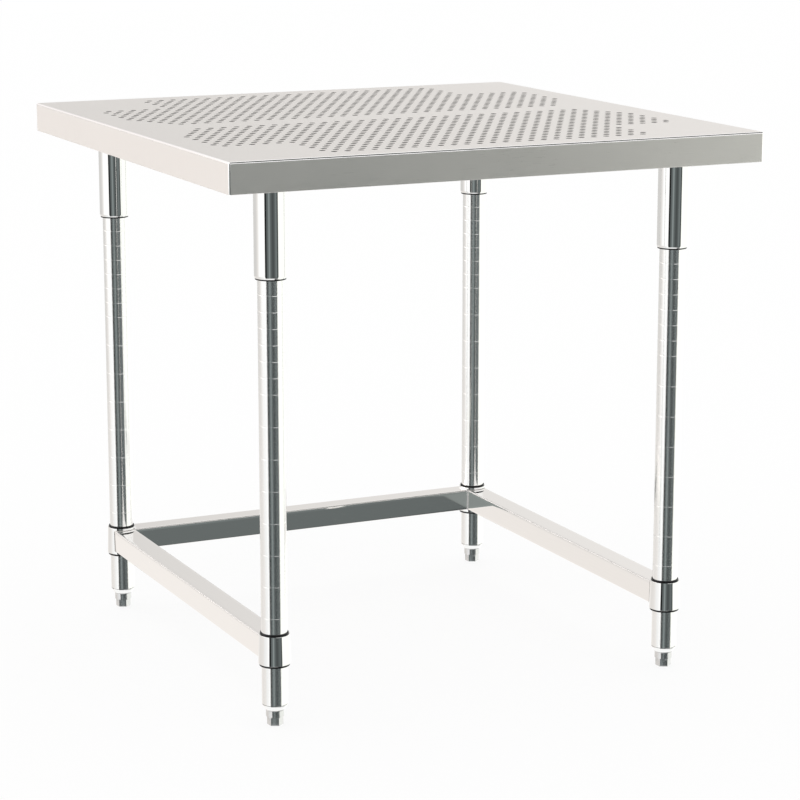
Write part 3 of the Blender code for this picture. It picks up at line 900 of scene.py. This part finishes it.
insert_section = eased(
    [
        (INSERT_PLUG, INSERT_TOP),
        (INSERT_PLUG, INSERT_SHOULDER),
        (POST_RADIUS, INSERT_SHOULDER),
        (POST_RADIUS, INSERT_EDGE),
        (INSERT_NOSE, INSERT_BOTTOM),
        (THREAD_BORE, INSERT_BOTTOM),
        (THREAD_BORE, INSERT_TOP),
    ],
    {0: 0.001, 2: 0.0003, 3: 0.0006, 4: 0.0006},
)
stud_section = [(0, STUD_TOP), (STUD_RADIUS - 0.001, STUD_TOP)]
crest = STUD_TOP - 0.001
while crest - THREAD_PITCH > FOOT_TOP + 0.002:
    stud_section.append((STUD_RADIUS, crest))
    stud_section.append((STUD_RADIUS - THREAD_DEPTH, crest - THREAD_PITCH / 2))
    crest -= THREAD_PITCH
stud_section += [
    (STUD_RADIUS - THREAD_DEPTH, FOOT_TOP),
    (SHOULDER_RADIUS - 0.0008, FOOT_TOP),
    (SHOULDER_RADIUS, FOOT_TOP - 0.0008),
    (SHOULDER_RADIUS, HEX_HEIGHT + 0.0012),
    (0.0105, HEX_HEIGHT - 0.0004),
    (0.0095, HEX_HEIGHT / 2),
    (0, HEX_HEIGHT / 2),
]
print("Points in the sections:", len(insert_section), "and", len(stud_section))

# %% Inserts and levelling feet
HEX_RADIUS = 0.0130
HEX_TURN = math.radians(35)
HEX_RINGS = ((HEX_RADIUS, HEX_HEIGHT), (HEX_RADIUS, 0.0012), (0.0112, 0))
RIM_EASE = 0.0004


def rounded(bm, edges):
    """Gives some edges of a bmesh a small bevel."""
    bmesh.ops.bevel(bm, geom=edges, offset=RIM_EASE, segments=2, profile=0.5, affect="EDGES")


def spanner_hexagon(axis):
    """A six sided bar with its lower corners turned off."""
    bm = skin([circle(axis, radius, z, 6, HEX_TURN) for radius, z in HEX_RINGS], capped=True)
    rounded(bm, [edge for edge in bm.edges if edge.calc_face_angle() > math.radians(25)])
    return into_mesh("hexagon", bm)


for corner, axis in AXES.items():
    mesh = turned("threaded_insert_" + corner, insert_section, axis, 48)
    place_piece(mesh, "bright_insert_chrome", "table", "insert_chrome", "foot_insert_" + corner)
    bm = bmesh.new()
    bm.from_mesh(turned("shoulder", stud_section, axis, 40))
    bm.from_mesh(spanner_hexagon(axis))
    mesh = into_mesh("spanner_foot_" + corner, bm)
    mesh.set_sharp_from_angle(angle=SHARP)
    place_piece(mesh, "zinc_foot_steel", "foot_" + corner, "foot_steel", "levelling_foot_" + corner)
print("A foot has", len(mesh.polygons), "faces")

# %% [markdown]
# ## The folded pan
# The top is one sheet, folded down on four sides and back in underneath, with its corners welded
# and ground round. Its rim is built in rings: each point of the folded section is carried round
# the square, and a corner's radius shrinks as a ring moves in.

# %% Rim of the pan
SKIRT_BOTTOM = 0.8544
LOWER_BEND = 0.0010
RETURN_FLANGE = 0.0127
BEND_PARTS = 5
CORNER_STEPS = 5


def bend_arc(centre_in, centre_up, radius, start, end):
    """Points of a bend in the section, as (distance in from the edge, height)."""
    points = []
    for part in range(BEND_PARTS + 1):
        angle = math.radians(start + (end - start) * part / BEND_PARTS)
        points.append((centre_in - radius * math.cos(angle), centre_up + radius * math.sin(angle)))
    return points


def rim_ring(inset, height):
    radius = max(CORNER_BEND - inset, 0)
    centre = TOP_HALF - max(inset, CORNER_BEND)
    ring = []
    for quarter, (side_x, side_y) in enumerate(((1, 1), (-1, 1), (-1, -1), (1, -1))):
        for step in range(CORNER_STEPS + 1):
            angle = math.radians(90 * (quarter + step / CORNER_STEPS))
            ring.append((*around((side_x * centre, side_y * centre), radius, angle), height))
    return ring


upper_centre = WORK_HEIGHT - BEND
lower_centre = SKIRT_BOTTOM + LOWER_BEND
pan_section = bend_arc(BEND, upper_centre, BEND, 90, 0)
pan_section += bend_arc(LOWER_BEND, lower_centre, LOWER_BEND, 0, -90)
pan_section += [(RETURN_FLANGE, SKIRT_BOTTOM), (RETURN_FLANGE, SKIRT_BOTTOM + SHEET)]
pan_section += [(SHEET, SKIRT_BOTTOM + SHEET)] + bend_arc(BEND, upper_centre, BEND - SHEET, 0, 90)
bm = skin([rim_ring(inset, height) for inset, height in pan_section])
bmesh.ops.remove_doubles(bm, verts=bm.verts, dist=1e-6)
bmesh.ops.dissolve_degenerate(bm, dist=1e-6, edges=bm.edges)
bmesh.ops.recalc_face_normals(bm, faces=bm.faces)
for face in bm.faces:
    face.smooth = max(abs(part) for part in face.normal) < 0.9999
rim_mesh = into_mesh("pan_rim", bm)
print("Rim of the pan:", len(rim_mesh.polygons), "faces")

# %% [markdown]
# ## Perforations
# Two fields of round holes are punched in staggered rows, on either side of a plain strip. No
# hole lies over a plate that is welded underneath, so the corners and the triangles
# between the fields stay plain. A Geometry Nodes tree with named sizes makes the whole sheet.

# %% Sizes of the perforated sheet
CORNER_PLATE = 0.170
GUSSET_LENGTH = 0.1060
GUSSET_WIDTH = 0.1836
GUSSET_START = 0.0303
SHEET_INPUTS = {
    "Hole Radius": 0.0051,
    "Clearance": 0.00475,
    "Pitch": 0.0222,
    "Margin": 0.0500,
    "Half Width": TOP_HALF,
    "Half Depth": TOP_HALF,
    "Bend": BEND,
    "Sheet": SHEET,
    "Edge Ease": 0.00015,
    "Corner Plate": CORNER_PLATE,
    "Gusset Length": GUSSET_LENGTH,
    "Gusset Width": GUSSET_WIDTH,
    "Gusset Start": GUSSET_START,
    "Height": WORK_HEIGHT,
}


def new_group(name, inputs):
    """A Geometry Nodes group that takes a geometry, named numbers and a material."""
    group = bpy.data.node_groups.new(name, "GeometryNodeTree")
    kinds = {"Geometry": "NodeSocketGeometry", "Material": "NodeSocketMaterial"}
    group.interface.new_socket("Geometry", in_out="OUTPUT", socket_type=kinds["Geometry"])
    for socket in ("Geometry", *inputs, "Material"):
        kind = kinds.get(socket, "NodeSocketFloat")
        group.interface.new_socket(socket, in_out="INPUT", socket_type=kind)
    return group


perforate = new_group("perforated_sheet", SHEET_INPUTS)
print("The sheet's tree takes", len(SHEET_INPUTS), "sizes")

# %% [markdown]
# One rule gives every hole: a point's index becomes a row and a column, and points are left out
# where a hole would lie in the plain strip, the margin, or over a corner plate or gusset.

# %% Points for the holes
PLAIN_ROWS = 1

sheet = Tree(perforate)
given = sheet.add("NodeGroupInput")
pitch = given["Pitch"]
half_x = given["Half Width"]
half_y = given["Half Depth"]
row_pitch = pitch * (math.sqrt(3) / 2)
last_row = ((half_y - given["Margin"]) / row_pitch).math("FLOOR")
half_row = (half_x - given["Margin"]) / pitch
columns = half_row.math("FLOOR") * 2 + 3
rows = last_row * 2 + 1
index = sheet.add("GeometryNodeInputIndex")["Index"]
counted = (index / columns).math("FLOOR")
row = counted - last_row
shift = (last_row - abs(row)).math("MODULO", 2.0) * 0.5
column = index - counted * columns - half_row.math("FLOOR") - 1 + shift
spots = {"Count": rows * columns, "Position": sheet.vector(column * pitch, row * row_pitch, 0.0)}
points = sheet.add("GeometryNodePoints", spots)["Points"]

away_x = abs(column) * pitch
away_y = abs(row) * row_pitch
flat_x = half_x - given["Bend"] - FIT
flat_y = half_y - given["Bend"] - FIT
in_strip = abs(row) < PLAIN_ROWS + 0.5
in_margin = abs(column) > half_row
corner_gap = (away_x - flat_x).math("MINIMUM", away_y - flat_y)
over_corner = corner_gap > 0 - given["Corner Plate"] - given["Clearance"]
steepness = given["Gusset Length"].math("POWER", -2.0) + given["Gusset Width"].math("POWER", -2.0)
gusset_gap = (flat_x - away_x) / given["Gusset Length"]
gusset_gap = gusset_gap + (away_y - given["Gusset Start"]) / given["Gusset Width"]
over_gusset = gusset_gap < given["Clearance"] * steepness.math("SQRT") + 1
unwanted = {"Geometry": points, "Selection": in_strip + in_margin + over_corner + over_gusset > 0.5}
centres = sheet.add("GeometryNodeDeleteGeometry", unwanted, domain="POINT")["Geometry"]
print("Rule for the holes:", len(perforate.nodes), "nodes")

# %% [markdown]
# The circles and the outline go through Fill Curve, which leaves a hole for each circle. The
# upper face gets slightly wider circles than the lower one, because a punched edge is eased.

# %% Upper and lower face
HOLE_SIDES = 16


def joined(*parts):
    together = sheet.add("GeometryNodeJoinGeometry")["Geometry"]
    for part in parts:
        sheet.links.new(part.socket, together.socket.node.inputs[0])
    return together


def lifted(geometry, height):
    sockets = {"Geometry": geometry, "Translation": sheet.vector(0.0, 0.0, height)}
    return sheet.add("GeometryNodeTransform", sockets)["Geometry"]


def on_centres(instance):
    sockets = {"Points": centres, "Instance": instance}
    return sheet.add("GeometryNodeInstanceOnPoints", sockets)["Instances"]


def filled_face(radius, height, turned_over):
    """The flat sheet at one height, with a hole at every centre."""
    sizes = {"Resolution": HOLE_SIDES, "Radius": radius}
    hole = sheet.add("GeometryNodeCurvePrimitiveCircle", sizes, mode="RADIUS")["Curve"]
    holes = sheet.add("GeometryNodeRealizeInstances", {"Geometry": on_centres(hole)})["Geometry"]
    sizes = {"Width": (half_x - given["Bend"]) * 2, "Height": (half_y - given["Bend"]) * 2}
    square = sheet.add("GeometryNodeCurvePrimitiveQuadrilateral", sizes, mode="RECTANGLE")["Curve"]
    curves = {"Curve": joined(square, holes)}
    face = sheet.add("GeometryNodeFillCurve", curves, mode="TRIANGLES")["Mesh"]
    if turned_over:
        face = sheet.add("GeometryNodeFlipFaces", {"Mesh": face})["Mesh"]
    return lifted(face, height)


radius = given["Hole Radius"]
thick = given["Sheet"]
ease = given["Edge Ease"]
top_face = filled_face(radius + ease, given["Height"], False)
under_face = filled_face(radius, given["Height"] - thick, True)
print("With its faces the tree has", len(perforate.nodes), "nodes")

# %% [markdown]
# The wall of a hole is a cylinder without ends, whose top ring is spread to meet the wider circle.
# The same small liner is instanced at every point, and merging near points joins it all up.

# %% Liners and the finished pan
sizes = {"Vertices": HOLE_SIDES, "Side Segments": 2, "Radius": radius, "Depth": thick}
liner = sheet.add("GeometryNodeMeshCylinder", sizes, fill_type="NONE")["Mesh"]
liner_x, liner_y, liner_z = sheet.split(sheet.add("GeometryNodeInputPosition")["Position"])
is_middle = abs(liner_z) < thick * 0.25
is_top = liner_z > thick * 0.25
raised = liner_z + is_middle * (thick * 0.5 - ease) - thick * 0.5
spread = is_top * ease / radius + 1
moved = {"Geometry": liner, "Position": sheet.vector(liner_x * spread, liner_y * spread, raised)}
liner = sheet.add("GeometryNodeSetPosition", moved)["Geometry"]
liner = sheet.add("GeometryNodeFlipFaces", {"Mesh": liner})["Mesh"]
liner = sheet.add("GeometryNodeSetShadeSmooth", {"Geometry": liner})["Geometry"]
liners = lifted(on_centres(liner), given["Height"])

whole = joined(given["Geometry"], top_face, under_face, liners)
whole = sheet.add("GeometryNodeRealizeInstances", {"Geometry": whole})["Geometry"]
near_by = {"Geometry": whole, "Distance": 0.00001}
whole = sheet.add("GeometryNodeMergeByDistance", near_by)["Geometry"]
dressed = {"Geometry": whole, "Material": given["Material"]}
sheet.add("NodeGroupOutput", {0: sheet.add("GeometryNodeSetMaterial", dressed)["Geometry"]})


def run_tree(name, start_mesh, tree, values):
    """A plain mesh from a Geometry Nodes tree. Its inputs are set by identifier first."""
    holder = shown(start_mesh)
    modifier = holder.modifiers.new(name, "NODES")
    modifier.node_group = tree
    for item in tree.interface.items_tree:
        if item.in_out == "INPUT" and item.name in values:
            modifier[item.identifier] = values[item.name]
    graph = bpy.context.evaluated_depsgraph_get()
    mesh = bpy.data.meshes.new_from_object(holder.evaluated_get(graph))
    bpy.data.objects.remove(holder)
    mesh.name = name
    return mesh


values = SHEET_INPUTS | {"Material": FINISHES["brushed_top_steel"]}
pan = run_tree("perforated_pan", rim_mesh, perforate, values)
check = bmesh.new()
check.from_mesh(pan)
loose = [edge for edge in check.edges if len(edge.link_faces) != 2]
triangles = sum(len(face.verts) - 2 for face in check.faces)
check.free()
print("Perforated pan:", triangles, "triangles,", len(loose), "open edges")
place_piece(pan, "brushed_top_steel", "table", "top_steel", "top_panel")

# %% [markdown]
# ## Weld beads
# The sleeves are welded to the corner plates all round, and each rail's end to its collar. A
# bead laid by hand is a row of overlapping ripples. It could be a torus, but then it would be
# smooth. Here a Geometry Nodes tree sweeps a small circle along any path and swells it at a
# steady pitch, with a little unevenness from seeded noise. One tree serves every joint.

# %% Tree for a bead along a path
SLEEVE_BEAD = 0.0015
SIDE_BEAD = 0.0008
BACK_BEAD = 0.0012
BEAD_SIDES = 7
PATH_STEPS = 96
RIPPLES = {"Ripple Pitch": 0.0024, "Ripple Share": 0.14, "Step": 0.0006}

bead_tree = new_group("weld_bead", ["Bead Radius", *RIPPLES])
bead = Tree(bead_tree)
asked = bead.add("NodeGroupInput")
line = bead.add("GeometryNodeMeshToCurve", {"Mesh": asked["Geometry"]})["Curve"]
steps = {"Curve": line, "Length": asked["Step"]}
line = bead.add("GeometryNodeResampleCurve", steps, mode="LENGTH")["Curve"]
gone = bead.add("GeometryNodeSplineParameter")["Length"]
wave = (gone / asked["Ripple Pitch"] * (2 * math.pi)).math("SINE")
here = bead.add("GeometryNodeInputPosition")["Position"]
uneven = bead.add("ShaderNodeTexNoise", {"Vector": here, "Scale": 300.0, "Detail": 1.0})["Fac"]
swell = 1 + asked["Ripple Share"] * (wave + uneven * 2 - 1)
sizes = {"Resolution": BEAD_SIDES, "Radius": asked["Bead Radius"]}
ring = bead.add("GeometryNodeCurvePrimitiveCircle", sizes, mode="RADIUS")["Curve"]
swept = {"Curve": line, "Profile Curve": ring, "Scale": swell}
laid = bead.add("GeometryNodeCurveToMesh", swept)["Mesh"]
laid = bead.add("GeometryNodeSetShadeSmooth", {"Geometry": laid})["Geometry"]
laid = bead.add("GeometryNodeRealizeInstances", {"Geometry": laid})["Geometry"]
dressed = {"Geometry": laid, "Material": asked["Material"]}
bead.add("NodeGroupOutput", {0: bead.add("GeometryNodeSetMaterial", dressed)["Geometry"]})
print("Bead tree:", len(bead_tree.nodes), "nodes")

# %% [markdown]
# A bead needs only a closed line to follow. At a sleeve that is a circle just under its plate. At
# a rail it is the tube's outline, stopped where the cope meets the cone, so the function that
# shaped the rail's ends gives the path. The beads sit mostly inside the steel. The back rail's are
# wider and ground bright, where they also join the side rails.

# %% Beads at the sleeves and at the copes
def lay_bead(name, points, radius, finish, body, slot):
    """A bead round a closed line of points."""
    path = bpy.data.meshes.new(name + "_path")
    edges = [(this, (this + 1) % len(points)) for this in range(len(points))]
    path.from_pydata(points, edges, [])
    values = RIPPLES | {"Bead Radius": radius, "Material": FINISHES[finish]}
    mesh = run_tree(name, path, bead_tree, values)
    place_piece(mesh, finish, body, slot)
    return len(mesh.polygons)


faces = 0
for corner, axis in AXES.items():
    points = circle(axis, SLEEVE_RADIUS + 0.0006, SLEEVE_TOP - 0.0004, PATH_STEPS)
    look = ("weld_bead_steel", "table", "sleeve_steel")
    faces += lay_bead("sleeve_weld_" + corner, points, SLEEVE_BEAD, *look)
for node in RAILS:
    is_back = node == "rail_back"
    radius = BACK_BEAD if is_back else SIDE_BEAD
    look = ("ground_weld_steel" if is_back else "weld_bead_steel", "lower_frame", "rail_steel")
    for side, end in (("_weld_near", -1), ("_weld_far", 1)):
        faces += lay_bead(node + side, coped_loop(node, outer, end), radius, *look)
print("Ten weld beads,", faces, "faces")

# %% [markdown]
# ## Channel, gussets and plates
# Under the sheet lies a hat channel bent from strip, with a triangular gusset in each corner that
# it makes with the skirts, and a square plate carries each sleeve. Such plates are cut by laser and
# deburred, so their outline is crisp and their rims are eased. Each is an outline with rounded
# corners, given its thickness and a small bevel.

# %% Plates with eased rims
PLATE = 0.0030
PLATE_RADIUS = 0.0080
GUSSET_RADIUS = 0.0020
UNDERSIDE = WORK_HEIGHT - SHEET - FIT
PLATE_START = FOLD - CORNER_PLATE
SQUARE = [(PLATE_START, PLATE_START), (FOLD, PLATE_START), (FOLD, FOLD), (PLATE_START, FOLD)]
TRIANGLE = [
    (FOLD, GUSSET_START),
    (FOLD, GUSSET_START + GUSSET_WIDTH),
    (FOLD - GUSSET_LENGTH, GUSSET_START),
]
PLATES = {
    "corner_plate_": ("sleeve_plate_", SQUARE, PLATE_RADIUS),
    "channel_gusset_": ("gusset_plate_", TRIANGLE, GUSSET_RADIUS),
}

for corner, (sx, sy) in CORNERS.items():
    for node, (prefix, points, radius) in PLATES.items():
        outline = eased(points, dict.fromkeys(range(len(points)), radius), 4)
        heights = (UNDERSIDE - PLATE, UNDERSIDE)
        bm = skin([[(sx * x, sy * y, z) for x, y in outline] for z in heights], capped=True)
        rounded(bm, [edge for edge in bm.edges if len({v.co.z for v in edge.verts}) == 1])
        mesh = into_mesh(prefix + corner, bm)
        place_piece(mesh, "mill_underside_steel", "table", "underside_steel", node + corner)
print("A gusset has", len(mesh.polygons), "faces")

# %% [markdown]
# The channel is one strip with four bends, so it is a section swept along the table. The inside of
# each bend has a smaller radius than the outside.

# %% Hat channel
CHANNEL_SHEET = 0.0015
CHANNEL_DEPTH = 0.0300
WALL_OUTSIDE = 0.02075
WALL_INSIDE = 0.01925
FLANGE_EDGE = 0.0300
INSIDE_BEND = 0.0010
OUTSIDE_BEND = 0.0025

web_top = UNDERSIDE - CHANNEL_DEPTH
half_hat = [
    (WALL_INSIDE, web_top),
    (WALL_INSIDE, UNDERSIDE),
    (FLANGE_EDGE, UNDERSIDE),
    (FLANGE_EDGE, UNDERSIDE - CHANNEL_SHEET),
    (WALL_OUTSIDE, UNDERSIDE - CHANNEL_SHEET),
    (WALL_OUTSIDE, web_top - CHANNEL_SHEET),
]
bends = [INSIDE_BEND, OUTSIDE_BEND, RIM_EASE, RIM_EASE, INSIDE_BEND, OUTSIDE_BEND]
hat = half_hat + [(-y, z) for y, z in reversed(half_hat)]
hat = eased(hat, dict(enumerate(bends + bends[::-1])), 4)
bm = skin([[(x, y, z) for y, z in hat] for x in (-FOLD, FOLD)], capped=True)
mesh = smoothed("hat_channel", bm)
place_piece(mesh, "mill_underside_steel", "table", "underside_steel", "mid_channel")
print("Section of the channel:", len(hat), "points")

# %% [markdown]
# A moulded cap closes each post under its plate, where the sleeve hides it.

# %% Post caps
CAP_FLANGE = 0.0030
CAP_PLUG = 0.0120

cap_bottom = POST_TOP + FIT
cap_section = eased(
    [
        (0, cap_bottom + CAP_FLANGE),
        (POST_RADIUS, cap_bottom + CAP_FLANGE),
        (POST_RADIUS, cap_bottom),
        (INSERT_PLUG, cap_bottom),
        (INSERT_PLUG, cap_bottom - CAP_PLUG),
        (0, cap_bottom - CAP_PLUG),
    ],
    {1: 0.001, 2: 0.0003, 4: 0.001},
)
for corner, axis in AXES.items():
    mesh = turned("tube_cap_" + corner, cap_section, axis, 48)
    place_piece(mesh, "black_cap_plastic", "table", "post_cap_plastic", "post_cap_" + corner)
print("A cap is", round(1000 * (CAP_FLANGE + CAP_PLUG)), "mm tall")

# %% [markdown]
# ## Sizes
# The box round the pieces is kept beside the CAD box. The looks may be smaller than the solids,
# but nothing may stand out of them.

# %% Sizes and the end
low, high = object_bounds()
sizes = {"cad": [list(cad_low), list(cad_high)], "visual": [list(low), list(high)]}
print("Visual box:", [round(v, 4) for v in low], [round(v, 4) for v in high])
